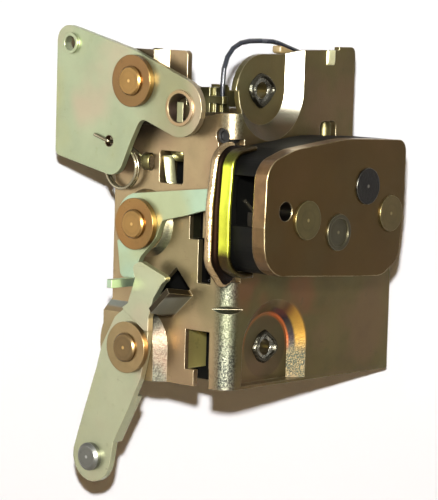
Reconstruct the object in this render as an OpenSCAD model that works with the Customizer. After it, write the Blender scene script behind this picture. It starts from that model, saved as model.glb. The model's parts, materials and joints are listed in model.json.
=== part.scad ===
// Car door lock: an L-bent pressed bracket with a latch case on its right wing
// and three riveted levers on its left wing. Units are millimetres.
// Working frame: X along the right wing, Y along the left wing, Z up, with Z = 0
// at the bracket's lower edge line. placed() moves it to the lower screw hole.

/* [Bracket] */
// Thickness of the pressed sheet
sheet_t = 2; // [1.5:0.1:3]
// Outer radius of the bend between the wings
bend_r = 5; // [4:0.5:8]
// Reach of the right wing's lower part from the corner
right_reach = 79; // [70:1:90]
// Reach of the left wing from the corner
left_reach = 48.7; // [44:0.1:54]
// Height of both wings above the lower edge line
wing_top = 102.4; // [98:0.1:108]
// Depth of the two sunk screw pads
pad_depth = 4; // [3:0.1:5]

/* [Screws] */
// Distance of the lower screw from the corner
screw_x = 22; // [20:0.5:26]
// Height of the lower screw
screw_z = 11.5; // [10:0.5:14]
// Distance of the upper screw from the corner
upper_screw_x = 17; // [15:0.5:20]
// Height of the upper screw
upper_screw_z = 91; // [86:0.5:94]
// Minor diameter of the screw threads
thread_d = 5; // [4.2:0.1:6.6]

/* [Latch] */
// Outer face of the front plate, measured out from the right wing
latch_reach = 21.8; // [20:0.1:24]
// Thickness of the front plate
plate_t = 4.8; // [3:0.1:6]
// Height of the middle of the striker's mouth
mouth_z = 61.5; // [60:0.5:64]

/* [Levers] */
// Diameter of the lever washers
washer_d = 16; // [14:0.5:18]
// Diameter of the lever pivots
pivot_d = 9; // [8:0.5:10]
// Diameter of the head of the rod pin
rod_pin_d = 8.8; // [8:0.1:10]

/* [Output] */
// Piece to draw

/* [Hidden] */
$fn = 48;
eps = 0.01;
fit = 0.05;

// Lever pivots on the left wing, as Y and Z
lock_pivot = [35.7, 92.6];
transfer_pivot = [34.3, 48.6];
handle_pivot = [35.2, 10.2];
// Outward height of the raised lobe under each lever
lock_raise = 3.5;
transfer_raise = 2;
handle_raise = 3.2;
// Latch pins in the right wing, as X and Z
claw_at = [9.5, 53.6];
lever_at = [24.4, 49.2];
pawl_at = [37.8, 62.7];
rivet_at = [49.7, 53.8];
case_back = 2.7;
case_front = latch_reach - plate_t;

// Points of an arc about c, from angle a to angle b
function arc(c, r, a, b, n = 8) = [for (i = [0:n]) [c[0] + r * cos(a + (b - a) * i / n),
                                                    c[1] + r * sin(a + (b - a) * i / n)]];
function unit(v) = v / norm(v);
// One corner of an outline, turned into an arc of radius r between its two sides
function corner(p, q, s, r) = let(u = unit(p - q), w = unit(s - q), half = acos(u * w) / 2,
    k = r / tan(half), m = unit(u + w), c = q + m * (r / sin(half)), t0 = q + u * k, t1 = q + w * k,
    a0 = atan2(t0[1] - c[1], t0[0] - c[0]), a1 = atan2(t1[1] - c[1], t1[0] - c[0]),
    turn = a1 - a0 > 180 ? a1 - a0 - 360 : a1 - a0 < -180 ? a1 - a0 + 360 : a1 - a0)
    arc(c, r, a0, a0 + turn, max(2, ceil(abs(turn) / 10)));
// An outline of [x, y, corner radius] points with its corners rounded
function rounded(p) = let(n = len(p)) [for (i = [0:n - 1]) let(b = p[i], a = p[(i + n - 1) % n],
    c = p[(i + 1) % n]) each (b[2] > 0 ? corner([a[0], a[1]], [b[0], b[1]], [c[0], c[1]], b[2]) : [[b[0], b[1]]])];

function flat(p) = [for (q = p) [q[0], q[1], 0]];

module placed() {
  translate([-screw_x, -pad_depth, -screw_z]) children();
}
// A plate in the left wing's plane: outline of Y and Z, from x over t
module yz_plate(x, t) {
  translate([x, 0, 0]) rotate([90, 0, 90]) linear_extrude(t) children();
}
// A plate in the right wing's plane: outline of X and Z, from y over t
module xz_plate(y, t) {
  translate([0, y + t, 0]) rotate([90, 0, 0]) linear_extrude(t) children();
}
// Round bar along X about the point at = [y, z]
module x_bar(at, x, l, d) {
  translate([x, at[0], at[1]]) rotate([0, 90, 0]) cylinder(h = l, d = d);
}
// Round bar along Y about the point at = [x, z]
module y_bar(at, y, l, d) {
  translate([at[0], y, at[1]]) rotate([-90, 0, 0]) cylinder(h = l, d = d);
}

// Outlines of the two wings
right_outline = concat(
  [[bend_r, 0], [right_reach, 0]],
  arc([right_reach - 3, 37], 3, 0, 90, 5),
  [[60, 40]],
  arc([60, 43], 3, 270, 180, 4),
  arc([55, wing_top - 0.1], 2, 0, 90, 4),
  [[49, wing_top + 1.9], [49, wing_top + 1], [32.5, wing_top + 1], [27.2, wing_top - 0.4]],
  [[17, wing_top - 0.4]],
  arc([17, wing_top - 12.4], 12, 90, 180, 8),
  [[bend_r, 84.2]]);
left_outline = concat(
  [[bend_r, 0], [46.6, 0]],
  arc(handle_pivot, 15.3, -41.8, 22.7, 8),
  [[49.3, 22.9]],
  rounded([[left_reach, 24, 0], [left_reach, wing_top, 1.5], [19.5, wing_top, 1.5], [19.5, 86, 0]]),
  [[13, 82.5], [bend_r, 84.2]]);

module right_face() {
  polygon(right_outline);
}
module left_face() {
  polygon(left_outline);
}

// Quarter ring of the bend, inset from the outer faces
module bend_ring(z0, z1, inset) {
  translate([bend_r, bend_r, z0]) intersection() {
    difference() {
      cylinder(h = z1 - z0, r = bend_r - inset);
      translate([0, 0, -1]) cylinder(h = z1 - z0 + 2, r = bend_r - inset - sheet_t);
    }
    translate([-bend_r, -bend_r, 0]) cube([bend_r, bend_r, z1 - z0]);
  }
}

pad_r = 10.6;
pad_rim = 15.2;
// Sunk round pad with straight sides to one end, pushed in by shift
module sunk_pad(at, z_end, shift, open_left) {
  z0 = min(at[1], z_end);
  z1 = max(at[1], z_end);
  translate([0, shift, 0]) {
    intersection() {
      translate([at[0], 0, at[1]]) rotate([-90, 0, 0]) cylinder(h = pad_depth, r1 = pad_rim, r2 = pad_r);
      translate([at[0] - 20, -1, z_end < at[1] ? z_end : at[1] - 20]) cube([40, pad_depth + 2, 40]);
    }
    translate([0, 0, z0]) linear_extrude(z1 - z0) polygon([
      [open_left ? 2 : at[0] - pad_rim, 0], [at[0] + pad_rim, 0],
      [at[0] + pad_r, pad_depth], [open_left ? 2 : at[0] - pad_r, pad_depth]]);
  }
}
// Raised lobe of the left wing: flat beyond y_flat, with sloping sides
module raised_lobe(h, y_flat, z_flat, slope, shift) {
  z_far = wing_top + 1;
  translate([shift, 0, 0]) intersection() {
    translate([0, 0, -1]) linear_extrude(wing_top + 3)
      polygon([[0, y_flat - slope], [0, left_reach + 3], [-h, left_reach + 3], [-h, y_flat]]);
    translate([0, left_reach + 3, 0]) rotate([90, 0, 0]) linear_extrude(left_reach)
      polygon([[0, z_flat - slope], [0, z_far], [-h, z_far], [-h, z_flat]]);
  }
}
// Lobe under the lower lever: a round top, straight down to the lower edge line
module domed_lobe(h, at, r, slope, shift) {
  translate([shift, at[0], at[1]]) {
    rotate([0, -90, 0]) cylinder(h = h, r1 = r + slope, r2 = r);
    translate([0, 0, -at[1] - 1]) linear_extrude(at[1] + 1)
      polygon([[0, -r - slope], [0, 20], [-h, 20], [-h, -r]]);
    translate([0, 20, 0]) rotate([90, 0, 0]) linear_extrude(20)
      polygon([[0, r + slope], [0, -1], [-h, -1], [-h, r]]);
  }
}
module round_boss(at, h, r, shift) {
  translate([shift, at[0], at[1]]) rotate([0, -90, 0]) cylinder(h = h, r1 = r + 2, r2 = r);
}
module lobes(shift) {
  raised_lobe(lock_raise, 30.3, 82.3, 3.4, shift);
  domed_lobe(handle_raise, [37.6, 10.2], 9.9, 3.1, shift);
  round_boss(transfer_pivot, transfer_raise, 8.6, shift);
}

// Stop tab, lanced out of the left wing beside the lower lever's arm
tab_root = [15.9, 29.8];
tab_width = 12.2;
tab_reach = 9;
module at_tab() {
  translate([0, tab_root[0], tab_root[1]]) rotate([-43.3, 0, 0]) children();
}

module left_openings() {
  // lanced window under the upper lever, and the spring's anchor hole
  yz_plate(-1, 4) polygon(rounded([[20, 61.5, 1], [30, 61.5, 1], [30, 71.5, 1], [20, 71.5, 1]]));
  yz_plate(-1, 4) polygon(rounded([[32.6, 65, 0.8], [37.2, 65, 0.8], [37.2, 70.4, 0.8], [32.6, 70.4, 0.8]]));
  // window beside the middle lever, and the slot over the return spring
  yz_plate(-1, 4) polygon([[11.3, 45.2], [16.8, 45.2], [16.8, 59], [11.3, 59]]);
  yz_plate(-1, 4) polygon([[7.6, 32], [13, 32], [13, 46], [7.6, 46]]);
  // lower window and the notch through the lower edge
  yz_plate(-1, 4) polygon([[7.4, 5], [17.3, 5], [17.3, 17.4], [7.4, 17.4]]);
  yz_plate(-1, 4) polygon([[7.2, -9], [13.6, -9], [13.6, 6], [7.2, 6]]);
  at_tab() translate([-1, 0, 0]) cube([4, tab_width, 8.6]);
  x_bar([4.7, 77.4], -1, 4.2, 4.8);
  x_bar(lock_pivot, -5, 9, pivot_d);
  x_bar(transfer_pivot, -5, 9, pivot_d);
  x_bar(handle_pivot, -5, 9, pivot_d);
}
module right_openings() {
  y_bar([upper_screw_x, upper_screw_z], -1, 9, thread_d);
  y_bar([screw_x, screw_z], -1, 9, thread_d);
  xz_plate(-1, 4) polygon(rounded([[40.7, 70, 1.5], [48.5, 70, 1.5], [48.5, 81.2, 1.5], [40.7, 81.2, 1.5]]));
  y_bar(claw_at, -1, 4, 7);
  y_bar(lever_at, -1, 4, 6);
  y_bar(pawl_at, -1, 4, 7);
  y_bar(rivet_at, -1, 4, 7);
  // clearance for the pawl's tail pin
  y_bar([29.9, 58], -1, 4, 9);
}
// Dart pressed across the corner under the collar: a wedge that runs out on both wings
module corner_dart(depth, half) {
  translate([0, 0, 24.6]) rotate([0, 0, 45]) rotate([90, 0, 0]) translate([0, 0, -9]) linear_extrude(18)
    polygon([[depth, 0], [-1, half], [-1, -half]]);
}
module corner_block() {
  translate([bend_r, bend_r, 15]) cylinder(h = 20, r = bend_r - 0.2);
  translate([0.2, bend_r, 15]) cube([8, 8, 20]);
  translate([bend_r, 0.2, 15]) cube([8, 8, 20]);
}

module base_bracket() {
  color([0.60, 0.56, 0.44]) placed() {
    difference() {
      union() {
        xz_plate(0, sheet_t) right_face();
        yz_plate(0, sheet_t) left_face();
        bend_ring(0, 84.2, 0);
        intersection() {
          union() {
            sunk_pad([upper_screw_x, upper_screw_z], wing_top + 2, sheet_t, true);
            sunk_pad([screw_x, screw_z], -1, sheet_t, false);
          }
          translate([0, -1, 0]) xz_plate(0, 9) right_face();
        }
        intersection() {
          lobes(0);
          yz_plate(-6, 9) left_face();
        }
        intersection() {
          corner_dart(7.4, 4);
          corner_block();
        }
      }
      sunk_pad([upper_screw_x, upper_screw_z], wing_top + 3, -eps, true);
      sunk_pad([screw_x, screw_z], 1, -eps, false);
      lobes(sheet_t + eps);
      left_openings();
      right_openings();
      // corner cut-out for the collar and the latch case
      translate([-1, -1, 33]) cube([bend_r + 1, 7, 43.5]);
      corner_dart(4.8, 2.6);
    }
    // swaged rims of the two screw holes
    for (at = [[upper_screw_x, upper_screw_z], [screw_x, screw_z]]) {
      difference() {
        y_bar(at, pad_depth + sheet_t - eps, 2.2, 9);
        y_bar(at, pad_depth, 6, thread_d);
      }
    }
    // lips and tabs bent out of the openings
    translate([0, 30, 61.5]) cube([8, sheet_t, 10]);
    translate([0, 37.2, 65]) cube([6.4, 1.4, 5.4]);
    translate([0, 16.8, 45.2]) cube([5, sheet_t, 13.8]);
    translate([0, 17.3, 5]) cube([9.8, sheet_t, 12.4]);
    at_tab() rotate([0, 11, 0]) translate([0, 0, -sheet_t - 0.15]) linear_extrude(sheet_t)
      polygon([[1.5, 0.4], [1.5, tab_width - 0.4], [-tab_reach, 10.6], [-tab_reach, 0.6]]);
  }
}

// Outline of the front plate and the latch case, as X and Z
latch_outline = rounded([[-10, 52, 0], [-9.4, 70.8, 7.5], [3, 74.8, 20], [28.2, 77.5, 60], [56.6, 76.4, 3.6],
  [56.6, 55, 30], [54.4, 39.4, 6], [46.6, 34.6, 9], [30.6, 35.4, 0], [1.8, 37.3, 0], [-9.2, 37.6, 9.5]]);
case_cavity = rounded([[-7, 46, 0], [-7, 65, 3], [-2, 69.6, 2], [6, 72.4, 0], [28, 74.8, 0], [50, 73.8, 2],
  [53.8, 70, 2], [54, 55, 0], [52, 45, 3], [46, 38.5, 3], [30.6, 38, 0], [2, 40, 0], [-5.4, 41.5, 2]]);
rivet_head_d = 11.1;
claw_y = 0.4 - case_front;
claw_t = case_front - 9;

module front_plate() {
  color([0.30, 0.26, 0.20]) placed() difference() {
    xz_plate(-latch_reach, plate_t) polygon(latch_outline);
    y_bar(claw_at, -latch_reach - 1, 9, 11.72);
    for (at = [lever_at, pawl_at, rivet_at]) y_bar(at, -latch_reach - 1, 9, rivet_head_d + 0.02);
    y_bar([-0.6, 56.7], -latch_reach - 1, 9, 5.8);
  }
}

module latch_case() {
  color([0.06, 0.06, 0.06]) placed() {
    difference() {
      xz_plate(-case_front, case_front - case_back) polygon(latch_outline);
      xz_plate(-case_front - 1, case_front - case_back - 2) polygon(case_cavity);
      // the striker's mouth in the left wall
      translate([-14, -case_front - 1, mouth_z - 9.5]) cube([10, 10, 15]);
      for (at = [claw_at, pawl_at]) y_bar(at, -9, 9, 6);
      y_bar(lever_at, -9, 9, 6);
      y_bar([29.9, 58], -9, 9, 9);
      y_bar(rivet_at, -9, 9, 7);
    }
    // spacer boss of the case rivet, ribs and the buffer seat over the mouth
    difference() {
      y_bar(rivet_at, -case_front, case_front - case_back - 2, 12);
      y_bar(rivet_at, -case_front - 1, 20, 7);
    }
    translate([45, -case_front, 62]) cube([9, 9, 2]);
    translate([42, -case_front, 38.2]) cube([2, 9, 6]);
  }
}

// Outer edge of the collar's flange, and the two faces of its sleeve
collar_flange = rounded([[0.2, 75, 0], [-3.2, 75, 0], [-3.4, 76.1, 0], [-11.4, 76.3, 7], [-14, 58, 20],
  [-14.2, 39.6, 7], [-7.3, 32.1, 2.5], [-3.4, 34, 0.8], [-3.2, 36, 0], [0.2, 36, 0]]);
collar_outer = rounded([[0.2, 75.1, 0], [-10.4, 73.6, 6], [-11.8, 56, 20], [-11.7, 38.4, 7], [-4, 35.8, 2.4],
  [0.2, 35.8, 0]]);
collar_inner = rounded([[1, 74, 0], [-9.4, 72.4, 5], [-10.5, 56, 20], [-10.4, 39.2, 6], [-3.8, 37.2, 2],
  [1, 37.2, 0]]);
module guide_collar() {
  color([0.66, 0.58, 0.30]) placed() {
    difference() {
      union() {
        xz_plate(-4.2, 2.7) polygon(collar_flange);
        xz_plate(-9.3, 7.8) polygon(collar_outer);
      }
      xz_plate(-10, 11) polygon(collar_inner);
    }
    // tongues clamped between the latch case and the right wing
    translate([-0.8, -2.7, 67]) cube([14, 2.7, 7.7]);
    translate([-0.8, -2.7, 36.7]) cube([14, 2.7, 6]);
  }
}

// Latch pins: a head in the front plate, a shank and an end riveted over
module latch_pin(at, head, shank, y_end) {
  y_bar(at, -latch_reach - 0.5, plate_t + 0.5, head);
  y_bar(at, -case_front - 0.5, case_front + 0.5 + y_end, shank);
  translate([at[0], y_end, at[1]]) rotate([-90, 0, 0]) cylinder(h = 0.8, d1 = shank + 2, d2 = shank + 1);
}
module claw_pin() {
  color([0.72, 0.70, 0.62]) placed() latch_pin(claw_at, 11.7, 6, 2);
}
module pawl_pin() {
  color([0.16, 0.16, 0.16]) placed() latch_pin(pawl_at, rivet_head_d, 6, 2);
}
module lever_pin() {
  color([0.42, 0.43, 0.45]) placed() {
    difference() {
      latch_pin(lever_at, rivet_head_d, 6, 5.1);
      y_bar(lever_at, -latch_reach - 1, 0.9, rivet_head_d - 2.4);
    }
    y_bar(lever_at, 2, 0.9, 9);
  }
}
module case_rivet() {
  color([0.70, 0.68, 0.60]) placed() latch_pin(rivet_at, rivet_head_d, 7, 2);
}

// Claw: a disc with a slot for the striker and two catch steps in its rim
claw_r = 12;
module claw() {
  color([0.45, 0.44, 0.42]) placed() xz_plate(claw_y, claw_t) translate(claw_at) difference() {
    circle(r = claw_r, $fn = 72);
    circle(d = 6 + 2 * fit);
    rotate(150) translate([9.6, 0]) circle(r = 4.3);
    rotate(150) translate([9.6, -4.3]) square([10, 8.6]);
    rotate(90) translate([9.6, -3.4]) polygon([[0, 0], [0, 3.4], [5, 4.4], [5, -2]]);
    rotate(64) translate([10, -3]) polygon([[0, 0], [0, 3], [5, 4], [5, -2]]);
  }
}
module pawl() {
  color([0.45, 0.44, 0.42]) placed() {
    difference() {
      union() {
        xz_plate(claw_y, claw_t - 0.6) polygon(rounded([[37.8, 68.4, 0], [27, 64.4, 2], [22.4, 61.2, 1], [22, 57.8, 1],
          [23.2, 55.2, 1.5], [31, 54.4, 2], [37.8, 57, 0]]));
        y_bar(pawl_at, claw_y, claw_t - 0.6, 12);
      }
      y_bar(pawl_at, claw_y - 1, claw_t + 2, 6 + 2 * fit);
    }
    y_bar([30.2, 57.5], claw_y + claw_t - 1, 5.8 - claw_y - claw_t, 4);
  }
}
// Release lever behind the right wing, with a foot on the return spring
module release_lever() {
  color([0.62, 0.60, 0.50]) placed() {
    difference() {
      union() {
        xz_plate(3, 2) polygon(rounded([[3, 50.6, 0.8], [3, 54.3, 0.8], [20, 54.5, 1.5], [31.5, 54.8, 0],
          [33.4, 54.4, 1], [32.6, 49.6, 1.5], [27, 44.2, 1.5], [20.5, 44.6, 1.5], [17, 50.4, 3]]));
        y_bar(lever_at, 3, 2, 12);
        translate([3, 4.6, 51.2]) cube([7.4, 8.6, 1.6]);
      }
      y_bar(lever_at, 2, 4, 6 + 2 * fit);
    }
  }
}

// Upper lever: levels are measured out from the left wing
lock_x = -5.7;
module lock_lever() {
  color([0.78, 0.78, 0.66]) placed() {
    difference() {
      union() {
        yz_plate(lock_x, sheet_t) polygon(rounded(concat([[70, 109.9, 5], [60.8, 107.9, 0], [36.9, 102.1, 30]],
          flat(arc([17.2, 85.3], 9, 111, 285, 14)), [[33.2, 81.4, 3], [37.5, 73.4, 0], [42.6, 62.2, 5.5],
          [69.9, 67.9, 2.2]])));
        // raised collar of the rod hole and the dished seat
        x_bar([63.6, 103.1], lock_x - 1, 1.2, 6.6);
        x_bar([16.9, 85.2], lock_x - 0.6, 0.8, 11);
      }
      x_bar(lock_pivot, lock_x - 1, 4, pivot_d + 2 * fit);
      x_bar([63.6, 103.1], lock_x - 2, 6, 4.6);
      x_bar([46.4, 73.4], lock_x - 2, 6, 3.4);
      translate([lock_x - 0.61, 16.9, 85.2]) rotate([0, 90, 0]) cylinder(h = 3, d1 = 9, d2 = 6.4);
    }
    // tongue of the dished seat
    translate([lock_x, 15.7, 80]) cube([1.2, 2.4, 7]);
  }
}
// Inner plate of the upper lever, with its arm behind the right wing
inner_x = 2.3;
module lock_inner_arm() {
  color([0.30, 0.29, 0.26]) placed() {
    difference() {
      union() {
        yz_plate(inner_x, sheet_t) polygon(rounded([[58, 91, 4], [55, 80, 4], [43, 77, 4], [28, 83.6, 3], [13, 85.5, 0],
          [13, 90.5, 0], [27, 94, 4], [34, 103.4, 3], [46, 98, 6]]));
        translate([inner_x, 13, 85.5]) cube([61 - inner_x, sheet_t, 5]);
        // thicker root of the arm, with two ribs, seen between the wings
        translate([inner_x, 12.2, 84]) cube([9, 3.6, 7.6]);
        translate([7.6, 11.6, 84]) cube([2.4, 4.8, 13]);
        translate([4.2, 11.4, 84]) cube([1.2, 2, 7.6]);
        translate([50.5, 13, 70]) cube([11, sheet_t, 20]);
        translate([inner_x, 6.8, 86.9]) cube([sheet_t, 7, 2.2]);
      }
      x_bar(lock_pivot, inner_x - 1, 4, pivot_d + 2 * fit);
    }
    // round peg seen through the right wing's window
    translate([56.4, 11.2, 72]) cylinder(h = 14, d = 5.2);
  }
}
// Middle lever, with its finger bent out and its arm's end bent in
transfer_x = -4.2;
module transfer_lever() {
  color([0.80, 0.81, 0.70]) placed() {
    difference() {
      yz_plate(transfer_x, sheet_t) polygon(concat(
        rounded([[3.6, 61.8, 0], [3.6, 55.2, 0], [7.7, 54.7, 0], [15, 52.6, 0], [24.4, 50.4, 2], [26.8, 44.8, 0],
          [29.3, 42.1, 0], [33.2, 38.3, 2], [35.7, 32.8, 0], [35.7, 29, 0], [37.7, 29, 0], [37.7, 31.8, 0],
          [41.4, 31, 2], [43.2, 42.6, 0]]),
        arc(transfer_pivot, 9.6, -35, 74, 8)));
      x_bar(transfer_pivot, transfer_x - 1, 4, pivot_d + 2 * fit);
    }
    translate([-14, 35.7, 29]) cube([14 + transfer_x + sheet_t, sheet_t, 2.6]);
    translate([transfer_x, 3.6, 55.2]) cube([4.8 - transfer_x, sheet_t, 4]);
  }
}
// Lower lever: hub and long arm, with the short upper arm set outward
handle_x = -5.6;
handle_t = 2.2;
handle_set = 1.8;
module handle_lever() {
  color([0.78, 0.79, 0.68]) placed() {
    difference() {
      union() {
        yz_plate(handle_x, handle_t) polygon(concat(
          rounded([[30.7, 0.6, 0], [28, 11.6, 3], [27.8, 16.9, 0], [37, 22.7, 0], [42, 19, 4], [47.6, 9, 5],
            [49.6, 1.8, 0], [53.8, -10.1, 0], [57.5, -20.9, 0]]),
          arc([50.8, -26.5], 8.1, 12, -172, 10),
          [[41.6, -20.9], [35.7, -9.8]]));
        yz_plate(handle_x - handle_set, handle_t) polygon(rounded([[26.2, 16.2, 0], [26.2, 20.3, 2], [24.4, 26.4, 2],
          [21, 31.4, 2], [18.3, 33.2, 1], [30.2, 37.4, 1.5], [33.4, 35.8, 1.5], [32.2, 32.1, 0], [35, 24, 0],
          [37.4, 22.4, 0], [28.2, 16.4, 0]]));
        // the joggle between the two levels
        yz_plate(handle_x - handle_set / 2, handle_t) polygon([[27, 17.6], [36, 23.2], [37.8, 21.9], [28.2, 15.8]]);
      }
      x_bar(handle_pivot, handle_x - 2, 6, pivot_d + 2 * fit);
      x_bar([50.8, -26.5], handle_x - 2, 6, 6);
    }
    // stiffening edge turned in along the long arm
    yz_plate(handle_x + handle_t - eps, 2) polygon([[41.6, -20.9], [35.7, -9.8], [33.4, -5.5], [35.1, -4.6],
      [37.4, -8.9], [43.3, -20]]);
  }
}

// A washer on the outside of a lever
module lever_washer(at, x) {
  difference() {
    x_bar(at, x, sheet_t, washer_d);
    x_bar(at, x - 1, 4, pivot_d);
  }
}
module lock_washer() {
  color([0.62, 0.45, 0.24]) placed() lever_washer(lock_pivot, -7.8);
}
module transfer_washer() {
  color([0.62, 0.45, 0.24]) placed() lever_washer(transfer_pivot, -6.3);
}
module handle_washer() {
  color([0.62, 0.45, 0.24]) placed() lever_washer(handle_pivot, -7.8);
}
// A stepped rivet from x_out to its inner head at x_in
module lever_rivet(at, x_out, x_in, head) {
  translate([x_out, at[0], at[1]]) rotate([0, 90, 0]) cylinder(h = 0.5, d1 = pivot_d - 1, d2 = pivot_d);
  x_bar(at, x_out + 0.5 - eps, x_in - x_out - 0.5 + eps, pivot_d);
  translate([x_in, at[0], at[1]]) rotate([0, 90, 0]) cylinder(h = 1.5, d1 = head, d2 = head - 2);
}
module lock_rivet() {
  color([0.64, 0.47, 0.26]) placed() {
    lever_rivet(lock_pivot, -8.9, 4.4, 12);
    x_bar(lock_pivot, 0.05 + sheet_t - lock_raise, 3.6, 12);
  }
}
module transfer_rivet() {
  color([0.64, 0.47, 0.26]) placed() lever_rivet(transfer_pivot, -7.4, 0.05 + sheet_t - transfer_raise, 12);
}
module handle_rivet() {
  color([0.64, 0.47, 0.26]) placed() lever_rivet(handle_pivot, -8.9, 0.05 + sheet_t - handle_raise, 12);
}
// Headed pin in the lower lever's end, with a ring behind
module rod_pin() {
  color([0.45, 0.46, 0.48]) placed() {
    x_bar([50.8, -26.5], handle_x - 0.4, 8, 6);
    x_bar([50.8, -26.5], handle_x - 1.6, 1.6, rod_pin_d);
    translate([handle_x - 2.4, 50.8, -26.5]) rotate([0, 90, 0]) cylinder(h = 0.81, d1 = rod_pin_d - 2, d2 = rod_pin_d);
    x_bar([50.8, -26.5], handle_x + handle_t, 1.5, 9);
  }
}

// Rings of points swept along a route: p is a list of stations, u and w the ring's two axes at each
function ring_at(c, u, w, r, n) = [for (k = [0:n - 1]) c + r * (u * cos(360 * k / n) + w * sin(360 * k / n))];
module swept(stations, r, n) {
  m = len(stations);
  polyhedron([for (s = stations) each ring_at(s[0], s[1], s[2], r, n)],
    concat([[for (k = [0:n - 1]) k]],
      [for (i = [0:m - 2], k = [0:n - 1]) [i * n + k, (i + 1) * n + k, (i + 1) * n + (k + 1) % n]],
      [for (i = [0:m - 2], k = [0:n - 1]) [i * n + k, (i + 1) * n + (k + 1) % n, i * n + (k + 1) % n]],
      [[for (k = [n - 1:-1:0]) (m - 1) * n + k]]));
}
// Coil spring standing on z0 about the point at = [x, y]
module coil(at, z0, h, r, wire, turns, steps, n) {
  rise = h - wire;
  swept([for (i = [0:turns * steps]) let(a = 360 * i / steps, u = [cos(a), sin(a), 0])
    [[at[0], at[1], z0 + wire / 2 + rise * i / (turns * steps)] + r * u, u, [0, 0, 1]]], wire / 2, n);
}
// Round wire along a route that lies across X and Z
module wire_route(p, r, n) {
  m = len(p);
  swept([for (i = [0:m - 1]) let(t = unit(p[min(i + 1, m - 1)] - p[max(i - 1, 0)]),
    s = unit(cross([0, 1, 0], t))) [p[i], s, cross(t, s)]], r, n);
}
spring_centre = [6.3, 10.3];
module return_spring() {
  color([0.10, 0.10, 0.10]) placed() coil(spring_centre, 30.6, 20.5, 2.6, 1, 10, 14, 6);
}
module spring_seat() {
  color([0.60, 0.56, 0.44]) placed() {
    translate([2, 7, 28.6]) cube([8, 7, sheet_t]);
    translate([2, 9, 20]) cube([sheet_t, 5, 9]);
  }
}
ring_r = 6.7;
module ring_x(at, x, r, wire) {
  translate([x, at[0], at[1]]) rotate([0, 90, 0]) rotate_extrude($fn = 48) translate([r, 0]) circle(d = wire, $fn = 16);
}
module ring_y(at, y, r, wire) {
  translate([at[0], y, at[1]]) rotate([90, 0, 0]) rotate_extrude($fn = 48) translate([r, 0]) circle(d = wire, $fn = 16);
}
toggle_at = [44, 65.4];
module toggle_spring() {
  color([0.82, 0.82, 0.80]) placed() {
    for (x = [-2.9, -1.7]) ring_x(toggle_at, x, ring_r, 1.25);
    // leg hooked out through the upper lever
    x_bar([46.3, 73.2], -7.2, 4.8, 1.2);
    translate([-2.9, 46.3, 73.2]) rotate([114, 0, 0]) cylinder(h = 3, d = 1.2);
    // leg hooked in through the left wing
    x_bar([34.6, 68], -2.2, 5.2, 1.2);
    translate([-1.7, 34.6, 68]) rotate([-78, 0, 0]) cylinder(h = 4, d = 1.2);
  }
}
module claw_spring() {
  color([0.55, 0.55, 0.53]) placed() {
    ring_y(claw_at, -6.27, 4.6, 1.1);
    translate([claw_at[0] - 4.6, -6.27, claw_at[1]]) rotate([0, -50, 0]) cylinder(h = 8, d = 1.1);
    translate([claw_at[0] + 4.6, -6.27, claw_at[1]]) rotate([0, 130, 0]) cylinder(h = 6, d = 1.1);
  }
}
module pawl_spring() {
  color([0.55, 0.55, 0.53]) placed() {
    ring_y(pawl_at, -6.27, 4.6, 1.1);
    translate([pawl_at[0] - 4.6, -6.27, pawl_at[1]]) rotate([0, -40, 0]) cylinder(h = 7, d = 1.1);
    translate([pawl_at[0] + 4.6, -6.27, pawl_at[1]]) rotate([0, 40, 0]) cylinder(h = 7, d = 1.1);
  }
}
// Wire that rises from the inner arm and bends over the right wing
wire_y = 8;
wire_points = [[3.3, 89.1], [3.3, 92], [3.8, 97.5], [5.2, 101], [7.6, 103.6], [11, 105.2], [15, 105.8], [20, 105.9],
  [26, 105.7], [29, 105.15], [39.2, 102.35]];
module link_wire() {
  color([0.10, 0.12, 0.18]) placed()
    wire_route([for (p = wire_points) [p[0], wire_y, p[1]]], 0.75, 8);
}
module wire_clip() {
  color([0.75, 0.68, 0.50]) placed() translate([33.8, wire_y, 103.83]) rotate([0, 15.35, 0]) difference() {
    translate([-3.8, -1.6, -3]) cube([7.6, 3.2, 3.2]);
    translate([-5, 0, 0]) rotate([0, 90, 0]) cylinder(h = 10, d = 1.56);
  }
}
// Black moulded cover inside the left wing, behind its windows
module spring_cover() {
  color([0.05, 0.05, 0.05]) placed() {
    translate([11, 15, 0.5]) cube([1.6, 27, 74]);
    translate([2.05, 40.4, 22]) cube([9, 1.6, 8]);
  }
}
// Plug in the round hole at the top of the corner
module corner_plug() {
  color([0.05, 0.05, 0.05]) placed() difference() {
    x_bar([4.7, 77.4], 0.9, 5.2, 4.7);
    x_bar([4.7, 77.4], 0.8, 1.2, 3);
  }
}

base_bracket();
guide_collar();
latch_case();
front_plate();
claw_pin();
pawl_pin();
lever_pin();
case_rivet();
lock_lever();
lock_inner_arm();
lock_washer();
lock_rivet();
transfer_lever();
transfer_washer();
transfer_rivet();
handle_lever();
handle_washer();
handle_rivet();
rod_pin();
toggle_spring();
return_spring();
link_wire();
wire_clip();
claw();
pawl();
release_lever();
claw_spring();
pawl_spring();
spring_seat();
spring_cover();
corner_plug();
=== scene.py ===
"""Looks for the car door lock: plated sheet, riveted levers and the latch, lit as on a white bench."""

import json
import math

import bmesh
import bpy
from mathutils import Matrix, Vector

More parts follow.
